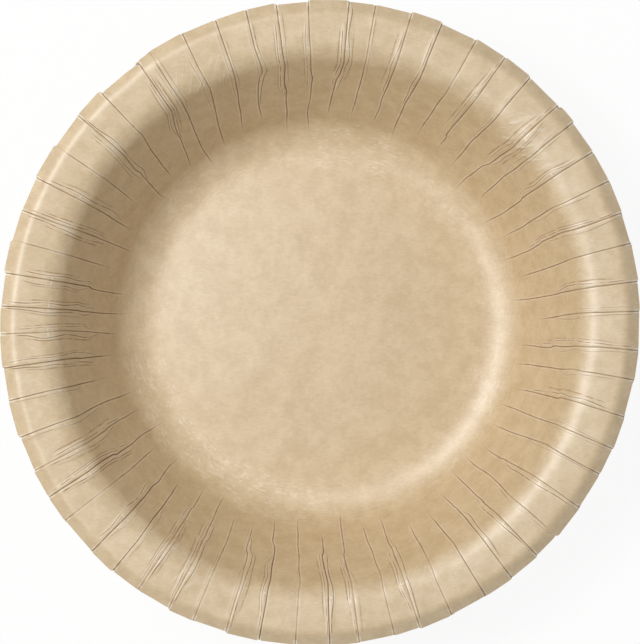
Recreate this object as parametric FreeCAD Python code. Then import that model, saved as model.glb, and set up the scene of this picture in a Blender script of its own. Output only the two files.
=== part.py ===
import FreeCAD, Part
import math
import os
import random

# Deep paper plate, pressed in one stroke from one round blank of coated kraft board.
# It is one solid. The plate stands on a flat ring round a slightly crowned floor. The
# heel bends up into a steep wall, the shoulder rolls over into a level flange, and the
# brow turns the flange down into a straight skirt that ends in the cut edge.
#
# The blank is wider than the plate, so pleats take up what is left over. At each pleat
# one panel laps a little over the next, with a crease between them on the inside. The
# spare board is folded flat beneath the lapping panel, and shows outside as a step. A
# pleat starts as nothing at the top of the heel, and is full from the shoulder outwards.
#
# Millimetres and degrees. The origin is the centre of the base, on the surface that the
# plate stands on. +Z is up, and bearings turn from +X towards +Y.

# Size of the plate
rim_diameter = 185.0      # across the cut edge
depth = 36.0              # from the table to the crest of the rim
board = 0.45              # thickness of the board

# Section of the upper face, from the floor to the cut edge
heel_radius = 12.0
wall_slope = 59.0
shoulder_radius = 8.2
flange_width = 6.4        # level part, between shoulder and brow
brow_radius = 2.4
skirt_slope = 41.0
skirt_length = 3.6        # straight part, down to the cut edge

# Floor
stand_width = 2.0         # width of the flat ring that the plate stands on
crown_height = 2.4        # how far the middle of the floor stands above that ring
crown_bands = 3           # flat bands that the crown's shallow dome is built of

# Pleats
pleat_count = 60
crease_width = 0.9
crease_depth = 0.2        # below the lower of its two panels
lap_step = 0.3            # how far a lapping panel lies above the next one

# A pressed plate is never quite even. The blank lies a little off centre in the die, so
# the pleats lean, the springy rim stays slightly oval, and the cut edge steps in and out.
pleat_turn = 1.7          # turn of the whole ring of pleats
foot_lean = 2.3           # sway of the pleats' lower ends
foot_lean_bearing = 119.0
rim_lean = 0.6            # sway of their upper ends
rim_lean_bearing = 156.0
rim_crowding = 0.7        # crowding of the upper ends towards two opposite sides
rim_crowding_bearing = 17.0
pleat_shuffle = 0.9       # how far each pleat strays by itself, either way
rim_spread = 0.8          # how far the rim is drawn out on its longer diameter
rim_spread_bearing = 62.0
trim_wander = 0.3         # how far the cut edge strays from panel to panel
wander_seed = 862590

# The file that holds the plate
node = "plate"


class Section:
    """One face of the board in section, walked outwards from the edge of the flat ring.

    Each leg is an arc of even curvature, or a straight run where it doesn't turn.
    `gap` is how far this face lies under the upper face.
    """

    def __init__(self, floor_radius, wall_run, gap):
        slope = math.radians(wall_slope)
        tuck = math.radians(skirt_slope)
        self.legs = []
        self.length = 0.0
        self.floor_radius = floor_radius
        self.place = (floor_radius, board - gap, 0.0)
        self.add((heel_radius + gap) * slope, slope)
        self.wall_start = self.length
        self.add(wall_run, 0.0)
        self.wall_end = self.length
        self.add((shoulder_radius - gap) * slope, -slope)
        self.add(flange_width, 0.0)
        self.add((brow_radius - gap) * tuck, -tuck)
        self.skirt_start = self.length
        self.add(skirt_length, 0.0)

    def add(self, length, turn):
        """Add a leg where the last one ended."""
        self.legs.append((self.length, self.place, length, turn))
        self.place = self.step(self.place, length, turn)
        self.length += length

    @staticmethod
    def step(place, length, turn):
        """Radius, height and slope after an arc of this length and turn."""
        radius, height, slope = place
        half = turn / 2
        chord = length * (math.sin(half) / half if half else 1.0)
        heading = slope + half
        return radius + chord * math.cos(heading), height + chord * math.sin(heading), slope + turn

    def at(self, along):
        """Radius, height and slope at a distance along the section."""
        reached = [leg for leg in self.legs if leg[0] <= along]
        start, place, length, turn = reached[-1]
        return self.step(place, along - start, turn * (along - start) / length)

    def pleated(self, along):
        """How much of its full size a pleat has at a distance along the section."""
        share = (along - self.wall_start) / (self.wall_end - self.wall_start)
        return min(max(share, 0.0), 1.0)

    def creased(self, along):
        """How deep a crease is: it grows up the wall, and runs out down the skirt."""
        left = (self.length - along) / (self.length - self.skirt_start)
        return self.pleated(along) * min(max(left, 0.0), 1.0)

    def fold_width(self, along):
        """Width of a fold: half of what the blank has over the plate's girth there."""
        blank_radius = self.floor_radius + along
        return math.pi * (blank_radius - self.at(along)[0]) / pleat_count


def wave(bearing, peak, times=1):
    """A sway that is 1 at the peak bearing and comes round `times` times."""
    return math.cos(math.radians(times * (bearing - peak)))


def level(along):
    """The depth of an edge that lies in its face, and its place beside its pleat."""
    return 0.0


def lapped_depth(face):
    """The depth of a panel's lapped edge, as a function of the distance along a face."""
    return lambda along: lap_step * face.pleated(along)


class Pleat:
    """Where one pleat runs, the side it is folded to, and the trim of the next panel."""

    def __init__(self, number, chance):
        nominal = 360.0 * number / pleat_count
        stray = pleat_shuffle * (2 * chance.random() - 1)
        self.foot = nominal + pleat_turn + foot_lean * wave(nominal, foot_lean_bearing)
        self.rim = nominal + pleat_turn + stray + rim_lean * wave(nominal, rim_lean_bearing)
        self.rim += rim_crowding * wave(nominal, rim_crowding_bearing, 2)
        self.side = 1 if math.sin(2.0 * number * number) > -0.3 else -1
        self.trim = trim_wander * math.sin(2.4 * number)

    def edge(self, face, trim, aside, sunk):
        """One edge along the pleat, from the edge of the floor to the cut edge.

        `aside` and `sunk` say how far the edge lies to the side of the pleat, and how
        far under the face, at a distance along the section.
        """
        pieces = []
        for start, _, length, turn in face.legs:
            stop = start + length + (trim if start + length == face.length else 0.0)
            marks = (start, (start + stop) / 2, stop) if turn else (start, stop)
            points = [self.point(face, mark, aside(mark), sunk(mark)) for mark in marks]
            pieces.append(points)
        return pieces

    def point(self, face, along, aside, sunk):
        """A point beside the pleat. The pleat leans on the wall and is radial elsewhere."""
        radius, height, slope = face.at(along)
        bearing = self.foot + (self.rim - self.foot) * face.pleated(along)
        bearing += math.degrees(aside / radius)
        height -= sunk * math.cos(slope)
        radius += sunk * math.sin(slope)
        radius += rim_spread * height / depth * wave(bearing, rim_spread_bearing, 2)
        angle = math.radians(bearing)
        return FreeCAD.Vector(radius * math.cos(angle), radius * math.sin(angle), height)


def edge_shape(points):
    """A straight edge between two points, or an arc through three."""
    if len(points) == 2:
        return Part.makeLine(*points)
    return Part.Arc(*points).toShape()


def flat_face(corners):
    """A flat face with these corners."""
    return Part.Face(Part.makePolygon(corners + corners[:1]))


def patches(left, right):
    """The faces between two edges, leg by leg, leaving out those of no width.

    Two straight edges lie slightly askew, so the board between them is two flat halves.
    """
    faces = []
    for one, other in zip(left, right):
        if one[-1].isEqual(other[-1], 1e-6):
            continue
        if len(one) > 2:
            faces.append(Part.makeRuledSurface(edge_shape(one), edge_shape(other)))
            continue
        faces.append(flat_face([one[0], one[1], other[1]]))
        if not one[0].isEqual(other[0], 1e-6):
            faces.append(flat_face([one[0], other[1], other[0]]))
    return faces


def upper_edges(face, pleat, before, after):
    """The three edges of a crease: the panels' two edges, and the bottom between them."""
    def half(along):
        return crease_width / 2 * face.pleated(along)

    def bottom(along):
        return lap_step * face.pleated(along) + crease_depth * face.creased(along)

    lapping, lapped = level, lapped_depth(face)
    sides = (lapped, lapping) if pleat.side > 0 else (lapping, lapped)
    return [
        pleat.edge(face, before, lambda along: -half(along), sides[0]),
        pleat.edge(face, (before + after) / 2, level, bottom),
        pleat.edge(face, after, half, sides[1]),
    ]


def lower_edges(face, pleat, before, after):
    """The two edges of the step that a fold makes underneath."""
    def aside(along):
        return pleat.side * face.fold_width(along) * face.pleated(along)

    folded, panel = lapped_depth(face), level
    sides = (folded, panel) if pleat.side > 0 else (panel, folded)
    return [pleat.edge(face, trim, aside, sunk) for trim, sunk in zip((before, after), sides)]


def wall_faces(face, pleats, make_edges):
    """Heel, panels and pleats of one face of the board, and its corners at the cut edge."""
    rows = []
    for number, pleat in enumerate(pleats):
        rows.append(make_edges(face, pleat, pleats[number - 1].trim, pleat.trim))
    edges = [edge for row in rows for edge in row]
    faces = []
    for number, edge in enumerate(edges):
        faces += patches(edge, edges[(number + 1) % len(edges)])
    return faces, [[edge[-1][-1] for edge in row] for row in rows]


def cut_edge_faces(upper_corners, lower_corners):
    """The cut edge of the board: its end at each pleat, and along each panel."""
    faces = []
    for number, (upper, lower) in enumerate(zip(upper_corners, lower_corners)):
        following = (number + 1) % pleat_count
        before, bottom, after = upper
        near, far = lower
        for corners in ((before, bottom, near), (bottom, far, near), (bottom, after, far)):
            faces.append(flat_face(list(corners)))
        top = Part.makeLine(after, upper_corners[following][0])
        base = Part.makeLine(far, lower_corners[following][0])
        faces.append(Part.makeRuledSurface(top, base))
    return faces


def floor_faces(ring_share, feet, height):
    """One face of the floor: a shallow crown, and the flat ring round it.

    Every edge of it is a smaller copy of the ring of feet, raised as a dome rises.
    """
    rows = []
    for band in range(crown_bands, 0, -1):
        share = band / crown_bands
        rise = crown_height * (1 - share * share)
        turn = [FreeCAD.Vector(foot.x, foot.y, 0) * ring_share * share for foot in feet]
        rows.append([place + FreeCAD.Vector(0, 0, height + rise) for place in turn])
    middle = FreeCAD.Vector(0, 0, height + crown_height)
    inner = Part.makePolygon(rows[0] + rows[0][:1])
    inner.reverse()
    faces = [Part.Face([Part.makePolygon(feet + feet[:1]), inner])]
    for number in range(pleat_count):
        following = (number + 1) % pleat_count
        for outer, next_row in zip(rows, rows[1:]):
            corners = [outer[number], outer[following], next_row[following], next_row[number]]
            faces.append(flat_face(corners))
        faces.append(flat_face([rows[-1][number], rows[-1][following], middle]))
    return faces


def plate():
    """The whole plate as one solid."""
    slope = math.radians(wall_slope)
    rise = depth - board - (heel_radius + shoulder_radius) * (1 - math.cos(slope))
    wall_run = rise / math.sin(slope)
    reach = Section(0.0, wall_run, 0.0).place[0]
    floor_radius = rim_diameter / 2 - reach
    chance = random.Random(wander_seed)
    pleats = [Pleat(number, chance) for number in range(pleat_count)]
    faces = []
    corners = []
    for gap, make_edges in ((0.0, upper_edges), (board, lower_edges)):
        face = Section(floor_radius, wall_run, gap)
        walls, ends = wall_faces(face, pleats, make_edges)
        feet = [pleat.point(face, 0.0, 0.0, 0.0) for pleat in pleats]
        faces += walls + floor_faces(1 - stand_width / floor_radius, feet, board - gap)
        corners.append(ends)
    faces += cut_edge_faces(*corners)
    skin = Part.makeCompound(faces)
    skin.sewShape()
    solid = Part.makeSolid(skin.Shells[0])
    if solid.Volume < 0:
        solid.reverse()
    return solid


os.makedirs("parts", exist_ok=True)
plate().exportStep("parts/" + node + ".step")
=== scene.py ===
import math
import random
from collections import namedtuple
from functools import partial

import bpy
import numpy as np
from bpy.props import FloatProperty, FloatVectorProperty, IntProperty, PointerProperty
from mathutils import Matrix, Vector


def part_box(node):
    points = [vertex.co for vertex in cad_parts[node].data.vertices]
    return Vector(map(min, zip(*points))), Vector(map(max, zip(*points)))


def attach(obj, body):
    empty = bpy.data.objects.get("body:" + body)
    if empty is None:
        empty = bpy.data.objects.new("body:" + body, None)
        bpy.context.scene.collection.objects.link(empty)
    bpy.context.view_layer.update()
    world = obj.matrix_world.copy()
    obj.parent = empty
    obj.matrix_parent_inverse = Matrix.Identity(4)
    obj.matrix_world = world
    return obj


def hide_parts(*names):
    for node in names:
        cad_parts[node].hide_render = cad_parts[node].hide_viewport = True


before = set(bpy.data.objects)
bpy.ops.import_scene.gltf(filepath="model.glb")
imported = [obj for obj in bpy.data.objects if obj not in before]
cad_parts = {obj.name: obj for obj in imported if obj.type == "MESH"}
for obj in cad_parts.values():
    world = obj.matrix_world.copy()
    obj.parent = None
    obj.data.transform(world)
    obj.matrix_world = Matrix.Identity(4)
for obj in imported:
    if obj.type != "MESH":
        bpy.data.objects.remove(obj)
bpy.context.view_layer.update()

bl_info = {
    "name": "Deep paper plate",
    "version": (1, 0, 0),
    "blender": (4, 5, 0),
    "location": "3D View > Sidebar > Paper plate",
    "description": "A deep pleated paper plate of kraft board, and the table it is shown on",
    "category": "Object",
}

MM = 0.001
PLATE_LOW, PLATE_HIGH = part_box("plate")
DIAMETER = (PLATE_HIGH.x - PLATE_LOW.x + PLATE_HIGH.y - PLATE_LOW.y) / 2
CREST = PLATE_HIGH.z - 0.2 * MM     # crest of the rim, under the folds that stand above it


def linear(hex_colour):
    """An sRGB hex colour as linear red, green, blue and full alpha."""
    shares = [int(hex_colour[i:i + 2], 16) / 255 for i in (1, 3, 5)]
    curved = [s / 12.92 if s <= 0.04045 else ((s + 0.055) / 1.055) ** 2.4 for s in shares]
    return (*curved, 1.0)


# ---- sizes and colours


def length(name, description, default_mm):
    """A length that a user may change, kept in metres."""
    return FloatProperty(name=name, description=description, default=default_mm * MM, unit="LENGTH")


def angle(name, description, degrees):
    """An angle that a user may change, kept in radians."""
    return FloatProperty(
        name=name, description=description, default=math.radians(degrees), subtype="ANGLE", unit="ROTATION"
    )


def share(name, description, default):
    """A number from 0 to 1 that a user may change."""
    return FloatProperty(name=name, description=description, default=default, min=0.0, max=1.0)


def colour(name, description, hex_colour):
    """A colour that a user may change, kept linear."""
    return FloatVectorProperty(
        name=name, description=description, default=linear(hex_colour),
        size=4, subtype="COLOR", min=0.0, max=1.0,
    )


class PlateSizes(bpy.types.PropertyGroup):
    """Section of the board, from the middle of the floor to the cut edge, and its pleats."""

    board: length("Board", "Thickness of the board", 0.45)
    stand_width: length("Stand", "Width of the flat ring that the plate stands on", 2.0)
    crown_height: length("Crown", "How far the middle of the floor stands above that ring", 2.4)
    heel_radius: length("Heel", "Bend from the floor up into the wall", 12.8)
    wall_slope: angle("Wall slope", "Steepness of the wall", 60.0)
    shoulder_radius: length("Shoulder", "Bend from the wall out into the flange", 8.3)
    flange_width: length("Flange", "From the shoulder to the brow", 6.9)
    flange_rise: angle("Flange rise", "Slope of the flange at the shoulder, twice that at the brow", 6.0)
    brow_radius: length("Brow", "Bend from the flange down into the skirt", 3.0)
    skirt_slope: angle("Skirt slope", "Steepness of the skirt", 35.0)
    skirt_length: length("Skirt", "Straight part of the skirt, down to the cut edge", 3.25)
    easing: length("Easing", "Length over which the board eases from one bend into the next", 1.6)
    rim_spread: length("Spread", "How far the rim is drawn out on its longer diameter", 0.78)
    rim_spread_bearing: angle("Spread bearing", "Bearing of that longer diameter", 62.0)
    lap_step: length("Lap", "How far a lapping panel lies above the next one", 0.22)
    crease_depth: length("Crease depth", "Depth of a crease below its panels", 0.06)
    fold_lift: length("Fold lift", "How far the hidden fold lifts the board beside a crease", 0.09)
    trim_wander: length("Trim", "How far the cut edge strays from panel to panel", 0.3)
    wander_seed: IntProperty(name="Wander", description="Seed of the pleats' stray places", default=862590)


class PlateColours(bpy.types.PropertyGroup):
    """Colours and gloss of coated kraft board."""

    board: colour("Board", "Board, where its fibres are pale", "#D0B993")
    dark: colour("Dark fibres", "Dark fibres and clouds", "#B79C72")
    # painted shade: the dark that stands for the shade in creases and along fold lines
    crease: colour("Crease", "Board at the bottom of a crease", "#743A08")
    # pale of wear along crease edges, and of painted highlights on edges, wrinkles, crumples and strips
    wear_and_highlight: colour("Worn edge", "Board along the edges of a crease, where the coat is stretched", "#EDE1C9")
    core: colour("Cut edge", "Bare board at the cut edge", "#B99F74")
    # where the painted sheen over the shoulder is brightest, with glints on the strips there
    rubbed_and_sheen: length("Rubbed", "Place on the section where the strips between fold lines are rubbed", 46.8)
    roughness: share("Roughness", "Roughness of the fibres", 0.54)
    bond: share("Fibre gloss", "Gloss of the fibres under the film, which wets them", 0.09)
    coat_roughness: share("Coat roughness", "Roughness of the satin film on the upper face", 0.51)
    coat_ior: FloatProperty(name="Coat IOR", description="Index of the film", default=2.04, min=1.0, max=2.5)


class StudioSettings(bpy.types.PropertyGroup):
    """Table, lamps and camera."""

    table: colour("Table", "Colour of the table", "#F7F7F5")
    table_size: length("Table size", "Side of the table", 4000.0)
    table_white: share("Table white", "Share of plain white over the lit table, as the eye sees it", 0.92)
    key_bearing: angle("Key bearing", "Where the soft box stands, from +X towards +Y", 157.5)
    key_height: angle("Key height", "How high the soft box stands above the horizon", 58.7)
    key_distance: length("Key distance", "From the plate to the soft box", 1500.0)
    key_width: length("Key width", "Width of the soft box", 690.0)
    key_length: length("Key length", "Length of the soft box", 580.0)
    key_power: FloatProperty(name="Key power", description="Its power", default=17.0, unit="POWER")
    fill: FloatProperty(name="Fill", description="Strength of the even light from all round", default=0.339)
    camera_height: length("Camera height", "From just under the rim to the camera", 1050.0)


# ---- shape of the plate

PLEATS = 60
FINE = 16               # columns from one pleat to the next where the creases are
PLAIN = 4               # the same on the floor, the heel and the lower face
LEAST_RADIUS = 5 * MM   # inside it, the creases' lines keep the shape that they have there

# One letter a pleat, anticlockwise from +X: how the hidden fold shows on the upper face.
# c clean, r or l more lines on the right or left of the crease, b lines on both sides.
FOLDS = "crcrcrcbcrcrrcbrrlcccbcbclbcbbbbccbbclcbbcrlcblcbccrlclccrcr"
SHORT = (0, 24, 27, 32, 49, 50)      # pleats that start high on the wall
LONG = (1, 3, 5, 7, 15, 20, 35, 46)  # pleats that run down into the heel
HIDDEN_ENDS = (20, 24, 27, 53)       # pleats that end before the cut edge

# A corner of the cut edge is torn off beside two pleats. Their rims lie some degrees back.
TORN_BEFORE, TORN_AFTER = 7, 21      # the pleats that the corners lie before and after
TORN_BACK = (0.9, 2.1)               # degrees
TORN_DEPTHS = (1.4 * MM, 1.1 * MM)
TORN_WIDTHS = (1.4 * MM, 2.4 * MM)
TORN_EDGE = 0.5 * MM                 # how softly the first one ends at its far side
TORN_SHORT = 0.85 * MM               # how far the panel of the second one ends short

# How the creases stray from an even spacing, in degrees. A sway has a size, the bearing
# where it is largest, and the times that it comes round.
CREASE_TURN = 1.7
FOOT_SWAYS = ((2.3, 119.0, 1),)
RIM_SWAYS = ((0.6, 156.0, 1), (0.7, 17.0, 2))
RIM_STRAY = 0.9
KINKS = ((0.20, 1), (0.12, 2), (0.10, 3), (0.05, 7))    # usual size in mm, and half waves up the wall
KINKS_START = 8 * MM                 # where they begin, along the section

# The groove of a crease and the strip that the hidden fold lifts beside it.
GROOVE = 0.13 * MM      # half width of the groove
FIRST_LINE = 0.40 * MM  # where the first fold line leaves the crease
STRIP_RISE = 0.30 * MM  # width of the strip's rise from the crease
STRIP_FALL = 0.32 * MM  # width of its fall at the fold line
LIP = 0.03 * MM         # how far the board bulges beside a crease
LIP_WIDTH = 0.55 * MM
NOTCH_WIDTH = 0.4 * MM  # half width of the nick in the cut edge
ONSET = 9 * MM          # length over which a crease begins

# Where the board is crumpled or wrinkled: first and last bearing, and strength.
CRUMPLED = (
    (15, 24, 0.35), (33, 50, 1.0), (108, 128, 0.4), (168, 200, 0.45), (232, 246, 0.9), (285, 296, 0.3),
)
WRINKLED = (
    (-10, 64, 0.4), (60, 97, 1.0), (90, 195, 0.5), (188, 272, 1.0),
    (262, 330, 0.4), (326, 348, 0.8), (342, 370, 0.4),
)

# What each point of the skin carries for the material: distances in millimetres, the
# strengths of what they measure, and the place on the unrolled board.
MARKS = (
    "crease", "crease_share", "line", "line_share", "further", "further_share",
    "strip", "crumple", "wrinkle", "round", "along",
)
AWAY = 9.0              # distance of points that no crease or line comes near
ROUND_RADIUS = 75.0     # millimetres, where patterns round the plate have their true length

COATED, CUT, BARE = 0, 1, 2     # kinds of face, as the numbers of their materials


def step(value, start, width):
    """A smooth step from 0 at the start to 1 a width on: three times the square less twice the cube."""
    crossed = np.clip((value - start) / width, 0.0, 1.0)
    return crossed * crossed * (3 - 2 * crossed)


def window(value, start, rise, end, fall):
    """A step up from the start, times a step down to the end, each with its own width."""
    return step(value, start, rise) * step(-value, -end, fall)


def bell(distance, width):
    """A bell curve: the exponential of minus the square of the distance over the width."""
    return np.exp(-((distance / width) ** 2))


def sway(bearing, peak, times=1):
    """A cosine of the bearing in degrees that peaks at one bearing and comes round some times."""
    return np.cos(np.radians(times * (bearing - peak)))


def next_line(line):
    """The next crease's bearing for each crease, a whole turn on where the round closes."""
    following = np.roll(line, -1, axis=1)
    following[:, -1] += 360.0
    return following


def even_columns(line, following, count):
    """Bearings from each crease to the next in even parts, on a last axis."""
    return line[..., None] + (following - line)[..., None] * np.arange(count) / count


class Section:
    """The upper face in section: radius, height and slope at each distance along it.

    The slope is a chain of even bends, eased by a running mean. Radius and height are the
    running sums of its cosine and its sine, placed so that the cut edge and the crest of
    the rim lie where the solid has them. Distances start where the flat ring ends.
    """

    STEP = 0.05 * MM        # spacing of the sums
    INWARDS = 60 * MM       # how far they reach inwards, past the middle of the floor
    OUTWARDS = 4 * MM       # how far they reach past the cut edge
    CROWN_EASE = 7 * MM     # width over which the crown begins

    def __init__(self, sizes):
        lift, slope, tuck = sizes.flange_rise, sizes.wall_slope, sizes.skirt_slope
        level = lift / 2
        flange_radius = sizes.flange_width / (math.sin(lift) - math.sin(level))
        rise = CREST - sizes.board - sizes.heel_radius * (1 - math.cos(slope))
        rise -= sizes.shoulder_radius * (math.cos(lift) - math.cos(slope))
        rise -= flange_radius * (math.cos(level) - math.cos(lift))
        rise -= sizes.brow_radius * (1 - math.cos(level))
        legs = (
            (sizes.heel_radius * slope, slope),
            (rise / math.sin(slope), slope),
            (sizes.shoulder_radius * (slope - lift), lift),
            (flange_radius * (lift - level), level),
            (sizes.brow_radius * (tuck + level), -tuck),
            (sizes.skirt_length, -tuck),
        )
        ends = np.cumsum([0.0] + [leg[0] for leg in legs])
        self.heel, self.wall, self.crest, self.brow, self.skirt, self.length = ends[1:]
        walk = np.arange(-self.INWARDS, self.length + self.OUTWARDS, self.STEP)
        plain = np.interp(walk, ends, [0.0] + [leg[1] for leg in legs])
        span = round(sizes.easing / self.STEP)
        eased = np.convolve(np.pad(plain, span, mode="edge"), np.ones(span) / span, mode="same")
        eased = eased[span:-span]
        radius = np.cumsum(np.cos(eased)) * self.STEP
        height = np.cumsum(np.sin(eased)) * self.STEP
        radius += DIAMETER / 2 - np.interp(self.length, walk, radius)
        height += CREST - height.max()
        stand = float(np.interp(0.0, walk, radius)) - sizes.stand_width
        crowned = 1.0 - step(radius, stand - self.CROWN_EASE / 2, self.CROWN_EASE)
        falls = -2 * sizes.crown_height / stand**2 * radius * crowned * (walk < 0)
        drop = np.cumsum(falls * (radius > 0)) * self.STEP
        height += drop - drop[-1]
        self.walk, self.radius, self.height, self.slope = walk, radius, height, eased + falls
        self.middle = float(np.interp(0.0, radius, walk))

    def at(self, along):
        """Radius, height and slope at distances along the section."""
        return [np.interp(along, self.walk, kind) for kind in (self.radius, self.height, self.slope)]

    def pleated(self, along):
        """How much of its full size a pleat has: nothing at the top of the heel, all at the shoulder."""
        return np.clip((along - self.heel) / (self.wall - self.heel), 0.0, 1.0)


class Lines:
    """Two more fold lines on one side of each crease, one entry a pleat.

    They leave the crease half way up the wall, run beside it over the shoulder, and come
    closer again or fade out on the flange. Most pleats have them on one side. The others
    have only a faint short one there, or none.
    """

    def __init__(self, draws, shown):
        faint = np.where(draws.random(PLEATS) < 0.4, 0.6, 0.0)
        self.shown = np.where(shown, 1.0, faint) * draws.uniform(0.8, 1.1, PLEATS)
        self.second = shown * (draws.random(PLEATS) < 0.75) * draws.uniform(0.6, 1.0, PLEATS)
        # distance of the first line from the crease, and of the second from the first
        self.reach = draws.uniform(0.9, 1.6, PLEATS) * MM
        self.further = draws.uniform(0.6, 1.3, PLEATS) * MM
        # where they part from the crease, over what length, and how much they come back
        self.opening = draws.uniform(20.0, 29.0, PLEATS) * MM + np.where(shown, 0.0, 7 * MM)
        self.opening_length = draws.uniform(2.0, 9.0, PLEATS) * MM
        self.closing = draws.uniform(0.0, 0.75, PLEATS)
        # where the first ends, from the brow, and the second begins, from the parting
        self.end = draws.uniform(-4.0, 2.5, PLEATS) * MM
        self.begin = draws.uniform(-2.0, 6.0, PLEATS) * MM + 3 * MM
        # how much their distance swings, as a sine
        self.swing = draws.uniform(0.05, 0.3, PLEATS)
        self.swing_length = draws.uniform(2.0, 4.0, PLEATS) * MM
        self.swing_start = draws.uniform(0.0, 2 * np.pi, PLEATS)

    def at(self, along, part):
        """Distances from the crease and strengths of both lines, by rows and pleats."""
        opened = step(along, self.opening, self.opening_length)
        closed = self.closing * step(along, part.crest - 2 * MM, part.brow - part.crest)
        swing = 1.0 + self.swing * np.sin(along / self.swing_length + self.swing_start)
        first = FIRST_LINE + opened * (1.0 - closed) * (self.reach * swing - FIRST_LINE)
        further = first + self.further * opened * (2.0 - swing)
        seen = step(along, self.opening + 1 * MM, 2.5 * MM)
        seen = seen * (1.0 - step(along, part.brow + self.end, 2 * MM))
        second = seen * self.second * step(along, self.opening + self.begin, 3 * MM)
        second = second * (1.0 - step(along, part.crest + 2 * MM, 4 * MM))
        return first, seen * self.shown, further, second


class Pleats:
    """Place and kind of every pleat, one entry a pleat."""

    def __init__(self, sizes):
        chance = random.Random(sizes.wander_seed)
        number = np.arange(PLEATS)
        nominal = 360.0 * number / PLEATS
        stray = RIM_STRAY * (2 * np.array([chance.random() for _ in number]) - 1)
        self.foot, self.rim = [
            nominal + CREASE_TURN + sum(size * sway(nominal, *wave) for size, *wave in sways)
            for sways in (FOOT_SWAYS, RIM_SWAYS)
        ]
        self.rim += stray
        self.rim[[TORN_BEFORE, TORN_AFTER]] -= TORN_BACK
        # most panels lap over the next one, and some under it, in no order that shows
        self.side = np.where(np.sin(2.0 * number * number) > -0.3, 1.0, -1.0)
        self.trim = sizes.trim_wander * np.sin(2.4 * number)
        self.trim[TORN_AFTER] = -TORN_SHORT
        self.torn_before = np.where(number == TORN_BEFORE, TORN_DEPTHS[0], 0.0)
        self.torn_after = np.where(number == TORN_AFTER, TORN_DEPTHS[1], 0.0)
        draws = np.random.default_rng(sizes.wander_seed)
        self.bend = draws.normal(0.0, 1.0, (len(KINKS), PLEATS))
        self.start = draws.uniform(6.5, 14.5, PLEATS) * MM
        self.start[list(SHORT)] = draws.uniform(18.0, 25.0, len(SHORT)) * MM
        self.start[list(LONG)] = draws.uniform(3.5, 5.5, len(LONG)) * MM
        self.hidden = np.isin(number, HIDDEN_ENDS).astype(float)
        self.depth = draws.uniform(0.7, 1.2, PLEATS)
        kinds = np.array(list(FOLDS))
        self.lines = [Lines(draws, np.isin(kinds, letters)) for letters in (("r", "b"), ("l", "b"))]
        # one sideways jog a crease: its size in mm, where it is over, and its length
        towards_left = np.isin(kinds, ("l", "b")) & (draws.random(PLEATS) < 0.6)
        self.jog = np.where(kinds == "c", 0.15, 1.0) * draws.uniform(0.0, 0.7, PLEATS)
        self.jog *= np.where(towards_left, 1.0, -1.0)
        self.jog_place = draws.uniform(21.0, 38.0, PLEATS) * MM
        self.jog_length = draws.uniform(1.0, 4.5, PLEATS) * MM
        self.notch = draws.uniform(0.1, 0.45, PLEATS) * MM

    def line(self, section, along, radius):
        """Bearing of each crease, by rows: a straight lean up the wall, with soft kinks and one jog.

        The kinks are a sum of sines of the share of the way up to the crest.
        """
        full = section.pleated(along)
        up = np.clip((along - KINKS_START) / (section.crest - KINKS_START), 0.0, 1.0)
        kinks = sum(
            size * bend * np.sin(halves * np.pi * up) for (size, halves), bend in zip(KINKS, self.bend)
        )
        jog = self.jog * (1.0 - step(along, self.jog_place, self.jog_length))
        kinks = kinks + jog * step(along, 1 * MM, 6 * MM)
        return self.foot + (self.rim - self.foot) * full + np.degrees(kinks * MM / radius)

    def onset(self, along):
        """How strongly each crease shows: a step from its start on."""
        return step(along, self.start[:, None], ONSET)


def ripple(bearing, along, seed, waves, reach, grain):
    """Gentle unevenness: a sum of waves with random directions, about as long as the grain.

    Each is a cosine of a whole number of turns round the plate plus a share of the distance
    along the section. The reach is the radius where waves are as long both ways.
    """
    draws = np.random.default_rng(seed)
    usual = 2 * np.pi / grain / 1.6
    turns = np.round(draws.normal(0.0, usual * reach, waves))
    runs = draws.normal(0.0, usual, waves)
    phases = draws.uniform(0.0, 2 * np.pi, waves)
    total = np.zeros(np.broadcast(bearing, along).shape)
    for turn, run, phase in zip(turns, runs, phases):
        total += np.cos(turn * np.radians(bearing) + run * along + phase)
    return total * math.sqrt(2 / waves)


def in_spans(bearing, spans, edge):
    """How strongly bearings lie in some spans, each a window whose ends are `edge` degrees wide."""
    total = np.zeros(bearing.shape)
    for low, high, strength in spans:
        total = np.maximum(total, strength * window(bearing, low, edge, high, edge))
    return total


def column_reaches(first, further, panel):
    """Distances from a crease of the columns on one side of it.

    Two stand at the groove, three at the first fold line, one at the second and one past
    it. Where the panel is narrow, all come closer by the same share.
    """
    reaches = [GROOVE + 0 * first, 0.28 * MM + 0 * first]
    reaches.append(np.maximum(first - STRIP_FALL / 2, reaches[1] + 0.05 * MM))
    reaches += [reaches[2] + STRIP_FALL / 2, reaches[2] + STRIP_FALL]
    reaches.append(np.maximum(further, reaches[4] + 0.12 * MM))
    reaches.append(reaches[5] + 0.22 * MM)
    room = np.minimum(1.0, 0.46 * panel / reaches[6])
    return [reach * room for reach in reaches]


AT_LINE, AT_FURTHER = 3, 5      # which of those columns stand on the fold lines


def strip(distance, reach):
    """A strip lifted between a crease and a fold line: a window with a fall on each side."""
    return window(distance, 0.0, STRIP_RISE, reach + STRIP_FALL / 2, STRIP_FALL)


# One of the two creases beside a panel, as its columns see it: how far off, strong, deep
# and notched it is, and how far from it and how strong its two fold lines are.
Side = namedtuple("Side", "distance onset depth notch line line_share further further_share")


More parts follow.
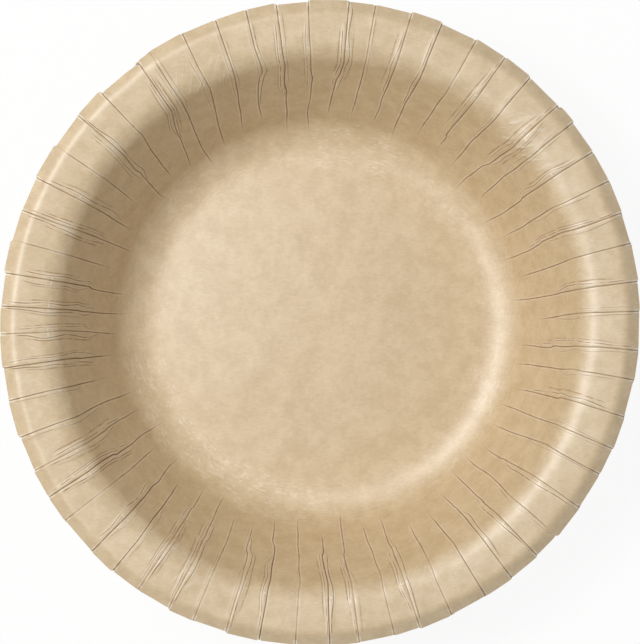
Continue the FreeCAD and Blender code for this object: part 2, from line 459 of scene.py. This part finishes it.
class Surface:
    """Works out rings of points of either face from the section and the pleats."""

    def __init__(self, sizes):
        self.sizes = sizes
        self.section = Section(sizes)
        self.pleats = Pleats(sizes)

    def place(self, along, bearing, sunk, inset=0.0):
        """Points at a distance along the section and a bearing, sunk under the upper face.

        The radius is longer one way and shorter across it, by a cosine that comes round
        twice, in proportion to the height.
        """
        radius, height, slope = self.section.at(along)
        height = height - sunk * np.cos(slope)
        radius = radius + sunk * np.sin(slope)
        spread = self.sizes.rim_spread * height / PLATE_HIGH.z
        radius = radius + spread * sway(bearing, math.degrees(self.sizes.rim_spread_bearing), 2) - inset
        turn = np.radians(bearing)
        return np.stack([radius * np.cos(turn), radius * np.sin(turn), height], axis=-1)

    def unevenness(self, bearing, along):
        """Soft waves of the whole board, and smaller ones in the pleated wall."""
        full = step(self.section.pleated(along), 0.0, 2 / 3)
        inner = step(self.section.at(along)[0], 0.0, 30 * MM)
        slow = 0.05 * MM * ripple(bearing, along, seed=11, waves=26, reach=60 * MM, grain=34 * MM)
        quick = 0.03 * MM * ripple(bearing, along, seed=12, waves=40, reach=75 * MM, grain=9 * MM)
        return inner * (slow + quick * (0.15 + full))

    def chord(self, before, after, bearing, along):
        """How far a flat panel lies inside the round: its sagitta at that bearing."""
        half = np.radians(after - before) / 2
        off = np.radians(bearing - (after + before) / 2)
        radius = self.section.at(along)[0]
        return radius * (1 - np.cos(half) / np.cos(off)) * self.section.pleated(along)

    def lap(self, crossed, full):
        """Depth of a panel under its lapping end, from the share of it that is crossed."""
        starts = np.where(self.pleats.side > 0, 0.0, 1.0)[:, None]
        ends = 1.0 - np.roll(starts, -1, axis=0)
        return self.sizes.lap_step * full * (starts + (ends - starts) * crossed)

    def trimmed(self, along, trim):
        """Distances along the section, where the skirt is drawn out evenly by the trim."""
        part = self.section
        return along + trim * np.clip((along - part.skirt) / (part.length - part.skirt), 0.0, 1.0)

    def marks(self, bearing, along, upper=True, **beside):
        """What the material reads at each point, in the order of MARKS, with what lies beside it.

        Crumples lie in a window over the shoulder and wrinkles in one round the heel, both
        on the upper face only.
        """
        middle = (self.section.wall + self.section.crest) / 2
        shoulder = window(along, middle - 7 * MM, 5 * MM, middle + 10 * MM, 5 * MM)
        heel = window(along, -5 * MM, 4 * MM, 17 * MM, 9 * MM)
        values = {
            "crease": AWAY, "line": AWAY, "further": AWAY, **beside,
            "crumple": upper * in_spans(bearing % 360.0, CRUMPLED, 3.0) * shoulder,
            "wrinkle": upper * in_spans(bearing % 360.0, WRINKLED, 6.0) * heel,
            "round": np.radians(bearing) * ROUND_RADIUS,
            "along": along / MM,
        }
        return np.stack([np.broadcast_to(values.get(mark, 0.0), bearing.shape) for mark in MARKS], axis=-1)

    def fine_columns(self, rows, radius, line):
        """Bearings of the fine columns, by rows, pleats and columns, and both sides of their panels.

        They stand close together at each crease and at the lines beside it, and evenly
        between them. Where the pleats begin, they are gathered from even ones.
        """
        part, pleats = self.section, self.pleats
        following = next_line(line)
        panel = np.radians(following - line) * radius
        turns = (0, -1)     # on its left, a panel has the crease of the next pleat
        lines = [
            [np.roll(kind, turn, axis=1) for kind in pair.at(rows, part)]
            for pair, turn in zip(pleats.lines, turns)
        ]
        reaches = [column_reaches(first, further, panel) for first, _, further, _ in lines]
        right, left = reaches
        near = [line] + [line + np.degrees(reach / radius) for reach in right]
        far = [following - np.degrees(reach / radius) for reach in left[-2::-1]]
        gap = FINE - len(near) - len(far)
        between = [near[-1] + (far[0] - near[-1]) * (i + 1) / (gap + 1) for i in range(gap)]
        even = even_columns(line, following, FINE)
        gathered = step(rows, 3 * MM, 2 * MM)[..., None]
        bearing = even + (np.stack(near + between + far, axis=-1) - even) * gathered

        deep = rows[..., None]
        hidden = pleats.hidden[:, None] * step(deep, part.brow - 1.5 * MM, 3 * MM)
        onset = pleats.onset(deep) * (1.0 - hidden)
        sides = [
            Side(
                np.radians(apart) * radius[..., None], np.roll(onset, turn, axis=1),
                np.roll(pleats.depth, turn)[:, None], np.roll(pleats.notch, turn)[:, None],
                reach[AT_LINE][..., None], first_share[..., None],
                reach[AT_FURTHER][..., None], further_share[..., None],
            )
            for apart, turn, reach, (_, first_share, _, further_share) in zip(
                (bearing - line[..., None], following[..., None] - bearing), turns, reaches, lines
            )
        ]
        return bearing, sides

    def relief(self, sides, bearing, crossed, deep):
        """Depth under the smooth upper face, and how far the hidden folds lift the board.

        A crease is a groove in the shape of a bell curve, with a lower bell curve that
        bulges beside it. A lapping panel stands a step above the next one, and the hidden
        fold lifts the strip up to the first line, and half as far up to the second.
        """
        full = self.section.pleated(deep)
        # the lap falls over all but a 22nd of the panel at each end
        lap = self.lap(step(crossed, 1 / 22, 10 / 11), full)
        crease = sum(side.depth * bell(side.distance, GROOVE) * side.onset for side in sides)
        lift = sum(strip(side.distance, side.line) * side.line_share for side in sides)
        lift = lift + 0.5 * sum(strip(side.distance, side.further) * side.further_share for side in sides)
        lip = LIP * sum(bell(side.distance, LIP_WIDTH) * side.onset for side in sides)
        sunk = lap + self.sizes.crease_depth * crease * (0.6 + 0.4 * full)
        return sunk - self.sizes.fold_lift * lift - lip - self.unevenness(bearing, deep), lift

    def nicks(self, sides):
        """How far the cut edge is notched: a bell curve at each crease, and two torn corners."""
        to_right, to_left = [side.distance for side in sides]
        nick = sum(side.notch * bell(side.distance, NOTCH_WIDTH) for side in sides)
        after = self.pleats.torn_after[:, None] * np.clip(1.0 - to_right / TORN_WIDTHS[1], 0.0, 1.0)
        before = 1.0 - step(to_left, TORN_WIDTHS[0], TORN_EDGE)
        return nick + after + np.roll(self.pleats.torn_before, -1)[:, None] * before

    def fine_rings(self, along):
        """Upper face where the creases are: rows of columns, as points and marks."""
        part, pleats = self.section, self.pleats
        rows, deep = along[:, None], along[:, None, None]
        radius = part.at(rows)[0]
        line = pleats.line(part, rows, radius)
        before, after = line[..., None], next_line(line)[..., None]
        bearing, sides = self.fine_columns(rows, radius, line)
        sunk, lift = self.relief(sides, bearing, (bearing - before) / (after - before), deep)
        trim = np.repeat(pleats.trim[:, None], FINE, axis=1)
        trim[:, 0] = (pleats.trim + np.roll(pleats.trim, 1)) / 2
        inset = self.chord(before, after, bearing, deep)
        points = self.place(self.trimmed(deep, trim - self.nicks(sides)), bearing, sunk, inset)

        # distance and strength of the nearer crease, whose painted shade is paler on the rim, and of its
        # fold lines
        rim = window(deep, part.wall - 7 * MM, 8 * MM, part.skirt, 2 * MM)
        carried = [
            (
                side.distance / MM, side.onset * (1.0 - 0.35 * rim),
                np.abs(side.distance - side.line) / MM, side.line_share,
                np.abs(side.distance - side.further) / MM, side.further_share,
            )
            for side in sides
        ]
        nearer = sides[0].distance < sides[1].distance
        beside = {mark: np.where(nearer, right, left) for mark, right, left in zip(MARKS, *carried)}
        return points, self.marks(bearing, deep, **beside, strip=np.clip(lift, 0.0, 1.0))

    def plain_rings(self, along):
        """Upper face of the floor and the lower heel: even columns, no creases."""
        rows = along[:, None]
        line = self.pleats.line(self.section, rows, np.maximum(self.section.at(rows)[0], LEAST_RADIUS))
        bearing = even_columns(line, next_line(line), PLAIN).reshape(len(along), -1)
        return self.place(rows, bearing, -self.unevenness(bearing, rows)), self.marks(bearing, rows)

    def lower_rings(self, along):
        """Lower face: one board under the upper face, with the step and the edge of each fold.

        A fold is half as wide as what the blank has over the girth of the plate there. Its
        edge is a step a tenth of a millimetre wide, and the panel between two falls evenly.
        """
        part, pleats, sizes = self.section, self.pleats, self.sizes
        rows = along[:, None]
        radius = np.maximum(part.at(rows)[0], LEAST_RADIUS)
        blank = part.at(0.0 * rows)[0] + rows
        fold = np.maximum(math.pi * (blank - radius) / PLEATS, 0.0)
        full = part.pleated(rows)
        line = pleats.line(part, rows, radius) + np.degrees(pleats.side * fold * full / radius)
        before, after = line[..., None], next_line(line)[..., None]
        half_step = np.degrees(0.05 * MM / radius)[..., None]
        crossed = np.array([0.0, 0.34, 0.67, 1.0])
        stepped = before + half_step + (after - before - 2 * half_step) * crossed
        pleated = (full > 0)[..., None]
        bearing = np.where(pleated, stepped, even_columns(line, after[..., 0], PLAIN))

        deep = rows[..., None]
        lap = self.lap(crossed * pleated, full[..., None])
        # the ring that the plate stands on stays flat
        free = step(np.abs(deep + sizes.stand_width / 2), 2 * MM, 4 * MM)
        sunk = sizes.board + lap - self.unevenness(bearing, deep) * free
        inset = self.chord(before, after, bearing, deep)
        points = self.place(self.trimmed(deep, pleats.trim[:, None]), bearing, sunk, inset)

        # the edge of each fold shows as a fainter crease, painted with fainter shade
        nearest = np.radians(np.minimum(bearing - before, after - bearing)) * radius[..., None] / MM
        onset = 0.6 * pleats.onset(deep)
        shares = np.where(bearing - before < after - bearing, onset, np.roll(onset, -1, axis=1))
        return points, self.marks(bearing, deep, upper=False, crease=nearest, crease_share=shares)


def rows_between(places):
    """Distances along the section, from places and the number of even rows up to each."""
    rows = [np.array([places[0][0]])]
    for (start, _), (end, count) in zip(places, places[1:]):
        rows.append(np.linspace(start, end, count + 1)[1:])
    return np.concatenate(rows)


def band(inner, outer):
    """Triangles between two rings of points, facing away from the board.

    Where one ring has several times as many points, each point of the other ring gets a
    fan over its share of them, and one more triangle reaches its next neighbour.
    """
    few, many = sorted((inner, outer), key=len)
    flip = len(inner) > len(outer)
    times = len(many) // len(few)
    start = np.arange(len(few)) * times - times // 2
    steps = [many[(start + i) % len(many)] for i in range(times + 1)]
    parts = [np.stack([few, first, second], axis=1) for first, second in zip(steps, steps[1:])]
    parts.append(np.stack([few, steps[-1], np.roll(few, -1)], axis=1))
    triangles = np.concatenate(parts)
    return triangles[:, ::-1] if flip else triangles


def plate_mesh(sizes):
    """The whole skin of the plate as points, triangles, marks and material numbers.

    It is one chain of rings: the middle of the upper face, outwards over the floor, the
    heel, the wall and the rim, round the cut edge, and back under the board to the middle
    of the lower face. The rows stand closest where the section bends most.
    """
    surface = Surface(sizes)
    part = surface.section
    first = part.middle + 4 * MM
    floor = rows_between(((first, 0), (-9 * MM, 11), (0.0, 8), (3 * MM, 6)))
    wall = rows_between((
        (3.5 * MM, 0), (part.heel, 11), (part.wall - 1 * MM, 30), (part.crest + 1 * MM, 15),
        (part.brow - 1 * MM, 5), (part.skirt + 0.8 * MM, 8), (part.length, 5),
    ))
    under = rows_between((
        (first, 0), (-9 * MM, 6), (0.0, 4), (part.heel, 10), (part.wall, 9),
        (part.crest, 8), (part.brow - 1 * MM, 3), (part.skirt + 1 * MM, 6), (part.length, 2),
    ))[::-1]
    rings = [surface.plain_rings(floor), surface.fine_rings(wall), surface.lower_rings(under)]
    poles = surface.place(np.full(2, part.middle), np.zeros(2), np.array([0.0, sizes.board]))
    points = [poles[:1]]
    marks = [rings[0][1][0, :1]]
    numbers = []
    count = 1
    for places, carried in rings:
        numbers += list(count + np.arange(places.size // 3).reshape(len(places), -1))
        points.append(places.reshape(-1, 3))
        marks.append(carried.reshape(-1, len(MARKS)))
        count += len(points[-1])
    points.append(poles[1:])
    marks.append(rings[2][1][-1, 0, :1])

    inmost, last = numbers[0], numbers[-1]
    triangles = [np.stack([np.zeros(len(inmost), int), inmost, np.roll(inmost, -1)], axis=1)]
    triangles += [band(inner, outer) for inner, outer in zip(numbers, numbers[1:])]
    triangles.append(np.stack([last, np.full(len(last), count), np.roll(last, -1)], axis=1))
    upper = len(floor) + len(wall)
    kinds = [COATED] * upper + [CUT] + [BARE] * (len(triangles) - upper - 1)
    kinds = np.repeat(kinds, [len(some) for some in triangles])
    return np.concatenate(points), np.concatenate(triangles), np.concatenate(marks), kinds


def make_mesh(name, points, triangles, marks, kinds, materials):
    """A mesh object from arrays, smooth but for its sharp edges."""
    mesh = bpy.data.meshes.new(name)
    mesh.vertices.add(len(points))
    mesh.vertices.foreach_set("co", points.astype(np.float32).ravel())
    mesh.loops.add(triangles.size)
    mesh.loops.foreach_set("vertex_index", triangles.astype(np.int32).ravel())
    mesh.polygons.add(len(triangles))
    mesh.polygons.foreach_set("loop_start", np.arange(0, triangles.size, 3, dtype=np.int32))
    mesh.polygons.foreach_set("material_index", kinds.astype(np.int32))
    mesh.polygons.foreach_set("use_smooth", np.ones(len(triangles), dtype=bool))
    mesh.update(calc_edges=True)
    mesh.validate()
    for mark, values in zip(MARKS, marks.T):
        layer = mesh.attributes.new(mark, "FLOAT", "POINT")
        layer.data.foreach_set("value", np.ascontiguousarray(values, dtype=np.float32))
    mesh.set_sharp_from_angle(angle=math.radians(50))       # the cut edge is steeper, every bend softer
    for material in materials:
        mesh.materials.append(material)
    piece = bpy.data.objects.new(name, mesh)
    bpy.context.scene.collection.objects.link(piece)
    return piece


# ---- materials


def add(tree, kind, inputs=None, output=0, **settings):
    """Add a shader node with its settings, give its inputs values or links, and return an output."""
    node = tree.nodes.new("ShaderNode" + kind)
    for name, value in settings.items():
        setattr(node, name, value)
    for name, value in (inputs or {}).items():
        if isinstance(value, bpy.types.NodeSocket):
            tree.links.new(value, node.inputs[name])
        else:
            node.inputs[name].default_value = value
    return node.outputs[output] if node.outputs else None


def empty_tree(owner):
    """The node tree of a material or a world, with nothing in it yet."""
    owner.use_nodes = True
    owner.node_tree.nodes.clear()
    return owner.node_tree


def board_material(name, colours, tone, roughness, gloss, coat):
    """Kraft board: pressed brown wood fibres, clouded, with short fibres that lie in the sheet.

    The coated face has a thin satin film over it, which gives broad soft highlights. The
    uncoated face and the cut edge are matte. A crease is a thin gap with hardly any film, painted
    dark as its shade, between light edges where the film is stretched, painted pale as part wear and
    part highlight. Wrinkles and crumples have bumps, and they and the strips at the shoulder are painted
    pale as highlights.
    """
    material = bpy.data.materials.new(name)
    new = partial(add, empty_tree(material))
    place = new("TexCoord", output="Object")
    mark = {kind: new("Attribute", output="Fac", attribute_name=kind) for kind in MARKS}

    # clouds up to 5 mm across, as the fibres lie thicker and thinner in the sheet
    clouds = new("TexNoise", {"Vector": place, "Scale": 1 / (5 * MM), "Detail": 4.0, "Roughness": 0.7})
    # single fibres, about 1.6 mm long and 0.5 mm wide, lying mostly one way; real ones are finer
    lie = new("Mapping", {"Vector": place, "Rotation": (0.0, 0.0, 0.5), "Scale": (1.0, 3.0, 2.0)})
    fibres = new("TexNoise", {"Vector": lie, "Scale": 1 / (1.6 * MM), "Detail": 3.0, "Roughness": 0.65})
    # the tooth of the surface, 0.9 mm across, and patches of 3 mm where fold lines are broken
    grain = new("TexNoise", {"Vector": place, "Scale": 1 / (0.9 * MM), "Detail": 3.0, "Roughness": 0.6})
    patches = new("TexNoise", {"Vector": place, "Scale": 1 / (3 * MM), "Detail": 1.0})
    # wrinkles that run round the heel, on the unrolled board 9 mm long and 1 mm apart
    sheet = new("CombineXYZ", {"X": mark["round"], "Y": mark["along"]})
    drawn = new("Mapping", {"Vector": sheet, "Scale": (0.11, 1.0, 1.0)})
    waves = new("TexNoise", {"Vector": drawn, "Scale": 1.0, "Detail": 2.0, "Roughness": 0.55})
    waves = new("Math", {0: waves, 1: 0.5}, operation="SUBTRACT")
    waves = new("Math", {0: waves}, operation="ABSOLUTE")
    # crumples over the shoulder: slanting ridges 1.3 mm wide and 6 mm long
    slant = {"Vector": sheet, "Rotation": (0.0, 0.0, 0.5), "Scale": (1.3, 6.0, 1.0)}
    slant = new("Mapping", slant, vector_type="TEXTURE")
    ridges = new("TexNoise", {"Vector": slant, "Scale": 1.0, "Detail": 1.5, "Distortion": 0.4})
    # how far a point lies past the place on the section where the painted sheen of the shoulder is
    # brightest, and how far from it
    past = new("Math", {0: mark["along"], 1: colours.rubbed_and_sheen / MM}, operation="SUBTRACT")
    turn = new("Math", {0: past}, operation="ABSOLUTE")

    # how strongly each shows. First soft steps: what each reads, where it begins and ends,
    # and its value before and after
    shows = {}
    for kind, value, *ends in (
        ("clouds", clouds, 0.3, 0.7, 0.06, 0.64),
        ("fibres", fibres, 0.3, 0.7, 0.0, 0.3),
        ("unbroken", patches, 0.35, 0.5, 0.35, 1.0),
        ("patches", patches, 0.4, 0.55, 0.0, 1.0),
        # creases and fold lines: how strongly their painted shade shows
        ("crease", mark["crease"], 0.04, 0.30, 0.95, 0.0),
        ("line", mark["line"], 0.04, 0.25, 0.9, 0.0),
        ("further", mark["further"], 0.04, 0.25, 0.75, 0.0),
        ("crease edge", mark["crease"], 0.3, 0.75, 1.0, 0.0),
        ("line edge", mark["line"], 0.25, 0.6, 1.0, 0.0),
        ("shoulder", turn, 1.0, 4.0, 1.0, 0.35),
        ("flange", turn, 10.0, 14.0, 0.35, 0.55),
        ("skirt", past, 11.0, 13.5, 0.0, 1.4),
        # painted glints on the lifted strips, where the shoulder highlight lies
        ("strip", turn, 0.1, 0.5, 1.0, 0.0),
        ("wrinkle", waves, 0.0, 0.045, 1.0, 0.0),
        ("crumple", ridges, 0.5, 0.72, 0.0, 1.0),
    ):
        inputs = {"Value": value, **dict(zip(("From Min", "From Max", "To Min", "To Max"), ends))}
        shows[kind] = new("MapRange", inputs, interpolation_type="SMOOTHSTEP")

    # each of these is as strong as the skin's mark says at that point
    for kind, strength in (
        ("crease", "crease_share"), ("line", "line_share"), ("further", "further_share"),
        ("crease edge", "crease_share"), ("line edge", "line_share"),
        ("strip", "strip"), ("wrinkle", "wrinkle"), ("crumple", "crumple"),
    ):
        shows[kind] = new("Math", {0: shows[kind], 1: mark[strength]}, operation="MULTIPLY")

    # fold lines are finer than creases, and broken in places; the pale along their edges, partly wear and
    # partly painted highlight, is strongest where the board turns over the shoulder and into the skirt
    for kind, first, operation, second in (
        ("fold", "line", "MAXIMUM", "further"), ("fold", "fold", "MULTIPLY", "unbroken"),
        ("edges", "crease edge", "MAXIMUM", "line edge"), ("edges", "edges", "MULTIPLY", "unbroken"),
        ("rubbed_and_sheen", "shoulder", "MAXIMUM", "flange"), ("rubbed_and_sheen", "rubbed_and_sheen", "MAXIMUM", "skirt"),
        ("edges", "edges", "MULTIPLY", "rubbed_and_sheen"), ("wrinkle", "wrinkle", "MULTIPLY", "patches"),
        ("dark", "crease", "MAXIMUM", "fold"), ("thick", "clouds", "ADD", "fibres"),
    ):
        shows[kind] = new("Math", {0: shows[first], 1: shows[second]}, operation=operation)

    # the board's own brown, then the pale of wear and of painted highlights, then the painted shade of
    # creases and folds
    shown = new("Mix", {0: shows["thick"], 6: colours.dark, 7: tone}, output=2, data_type="RGBA")
    wear_and_highlight = new("Math", {0: shows["edges"], 1: 0.6}, operation="MULTIPLY")
    # painted highlights on wrinkles, crumples and the strips at the shoulder
    for kind, strength in (("wrinkle", 0.36), ("crumple", 0.4), ("strip", 0.5)):
        light = new("Math", {0: shows[kind], 1: strength}, operation="MULTIPLY")
        wear_and_highlight = new("Math", {0: wear_and_highlight, 1: light}, operation="MAXIMUM")
    shown = new("Mix", {0: wear_and_highlight, 6: shown, 7: colours.wear_and_highlight}, output=2, data_type="RGBA")
    # painted shade in creases and fold lines
    crease_shade = new("Math", {0: shows["dark"], 1: 0.7}, operation="MULTIPLY")
    shown = new("Mix", {0: crease_shade, 6: shown, 7: colours.crease}, output=2, data_type="RGBA")
    film = {"Value": shows["dark"], "To Min": 1.0, "To Max": 0.15}
    film = new("MapRange", film, interpolation_type="SMOOTHSTEP")
    film = new("Math", {0: film, 1: coat}, operation="MULTIPLY")

    # how high each stands over the board, in millimetres
    relief = new("Math", {0: grain, 1: 0.02}, operation="MULTIPLY")
    for kind, height in (
        ("crease", -0.04), ("fold", -0.04), ("edges", 0.04), ("wrinkle", 0.035), ("crumple", 0.22),
    ):
        raised = new("Math", {0: shows[kind], 1: height}, operation="MULTIPLY")
        relief = new("Math", {0: relief, 1: raised}, operation="ADD")
    bump = new("Bump", {"Height": relief, "Strength": 0.8, "Distance": 1 * MM})
    shader = new("BsdfPrincipled", {
        "Base Color": shown, "Roughness": roughness, "IOR": 1.5, "Specular IOR Level": gloss,
        "Coat Weight": film, "Coat Roughness": colours.coat_roughness, "Coat IOR": colours.coat_ior,
        "Normal": bump,
    })
    new("OutputMaterial", {"Surface": shader})
    return material


def looked_at(tree):
    """A link that is 1 for looks, straight, in a mirror or through glass, and 0 for light that falls."""
    rays = add(tree, "LightPath").node.outputs
    seen = add(tree, "Math", {0: rays["Is Camera Ray"], 1: rays["Is Glossy Ray"]}, operation="MAXIMUM")
    return add(tree, "Math", {0: seen, 1: rays["Is Transmission Ray"]}, operation="MAXIMUM")


def table_material(studio):
    """Matte white laminate. The eye sees it as white, with the plate's shadow left on it."""
    material = bpy.data.materials.new("matte_white_laminate")
    tree = empty_tree(material)
    matte = add(tree, "BsdfDiffuse", {"Color": studio.table})
    white = add(tree, "Emission", {"Color": (1.0, 1.0, 1.0, 1.0), "Strength": 1.0})
    weight = add(tree, "Math", {0: looked_at(tree), 1: studio.table_white}, operation="MULTIPLY")
    mixed = add(tree, "MixShader", {0: weight, 1: matte, 2: white})
    add(tree, "OutputMaterial", {"Surface": mixed})
    return material


def even_light(studio):
    """Even light from all round. It looks white, and is dimmer where it lights."""
    world = bpy.data.worlds.new("even_light")
    tree = empty_tree(world)
    strength = add(tree, "MapRange", {"Value": looked_at(tree), "To Min": studio.fill, "To Max": 1.0})
    light = add(tree, "Background", {"Color": (1.0, 1.0, 1.0, 1.0), "Strength": strength})
    add(tree, "OutputWorld", {"Surface": light})
    return world


# ---- operators and panel

# The view is measured at a level under the crest of the rim, where the plate takes this
# share of its width. Its middle lies a little beside the plate's.
VIEW_LEVEL = PLATE_HIGH.z - 5.5 * MM
VIEW_SHARE = 1.0020
VIEW_SHIFT = 0.23 * MM


class PAPERPLATE_OT_plate(bpy.types.Operator):
    """Make the pressed board plate and lay it over its solid."""

    bl_idname = "paper_plate.plate"
    bl_label = "Make the plate"

    def execute(self, context):
        colours = context.scene.plate_colours
        board, core = colours.board, colours.core
        # each with its roughness, its gloss and how much film it has, in the order of COATED, CUT and BARE
        materials = (
            board_material("coated_kraft_board", colours, board, colours.roughness, colours.bond, 1.0),
            board_material("cut_kraft_board", colours, core, 0.8, 0.5, 0.0),
            board_material("bare_kraft_board", colours, board, 0.75, 0.5, 0.0),
        )
        piece = make_mesh("pressed_plate", *plate_mesh(context.scene.plate_sizes), materials)
        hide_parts("plate")
        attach(piece, "root")
        return {"FINISHED"}


class PAPERPLATE_OT_stage(bpy.types.Operator):
    """Set up the table, the soft box, the even light and the camera."""

    bl_idname = "paper_plate.stage"
    bl_label = "Set the stage"

    def execute(self, context):
        scene = context.scene
        studio = scene.plate_studio
        half = studio.table_size / 2
        corners = [(-half, -half, 0), (half, -half, 0), (half, half, 0), (-half, half, 0)]
        mesh = bpy.data.meshes.new("table")
        mesh.from_pydata(corners, [], [(0, 1, 2, 3)])
        mesh.materials.append(table_material(studio))
        table = bpy.data.objects.new("table", mesh)
        scene.collection.objects.link(table)

        middle = Vector((0.0, 0.0, PLATE_HIGH.z / 2))
        bearing, height = studio.key_bearing, studio.key_height
        flat = math.cos(height)
        towards = Vector((flat * math.cos(bearing), flat * math.sin(bearing), math.sin(height)))
        lamp = bpy.data.lights.new("soft_box", "AREA")
        lamp.shape = "RECTANGLE"
        lamp.size = studio.key_width
        lamp.size_y = studio.key_length
        lamp.energy = studio.key_power
        key = bpy.data.objects.new("soft_box", lamp)
        key.location = middle + towards * studio.key_distance
        key.rotation_euler = towards.to_track_quat("Z", "Y").to_euler()
        scene.collection.objects.link(key)
        scene.world = even_light(studio)

        lens = bpy.data.cameras.new("camera")
        lens.sensor_fit = "HORIZONTAL"
        lens.sensor_width = 36.0
        lens.lens = VIEW_SHARE * lens.sensor_width * studio.camera_height / DIAMETER
        lens.clip_start = 0.05
        lens.clip_end = 10.0
        camera = bpy.data.objects.new("camera", lens)
        camera.location = (0.0, VIEW_SHIFT, VIEW_LEVEL + studio.camera_height)
        scene.collection.objects.link(camera)
        scene.camera = camera
        scene.view_settings.view_transform = "Standard"
        return {"FINISHED"}


class PAPERPLATE_PT_panel(bpy.types.Panel):
    """Sizes, colours and buttons of the plate in the sidebar."""

    bl_idname = "PAPERPLATE_PT_panel"
    bl_label = "Paper plate"
    bl_space_type = "VIEW_3D"
    bl_region_type = "UI"
    bl_category = "Paper plate"

    def draw(self, context):
        scene = context.scene
        for group in (scene.plate_sizes, scene.plate_colours, scene.plate_studio):
            box = self.layout.box()
            for name in group.__annotations__:
                box.prop(group, name)
        for operator in OPERATORS:
            self.layout.operator(operator.bl_idname)


GROUPS = {"plate_sizes": PlateSizes, "plate_colours": PlateColours, "plate_studio": StudioSettings}
OPERATORS = (PAPERPLATE_OT_plate, PAPERPLATE_OT_stage)
CLASSES = (*GROUPS.values(), *OPERATORS, PAPERPLATE_PT_panel)


def register():
    """Make the classes known, and hang the settings on the scene."""
    for kind in CLASSES:
        bpy.utils.register_class(kind)
    for name, group in GROUPS.items():
        setattr(bpy.types.Scene, name, PointerProperty(type=group))


def unregister():
    """Take the settings and the classes away again."""
    for name in GROUPS:
        delattr(bpy.types.Scene, name)
    for kind in reversed(CLASSES):
        bpy.utils.unregister_class(kind)


def main():
    """Make the plate and its stage."""
    register()
    bpy.ops.paper_plate.plate()
    bpy.ops.paper_plate.stage()


if __name__ == "__main__":
    main()
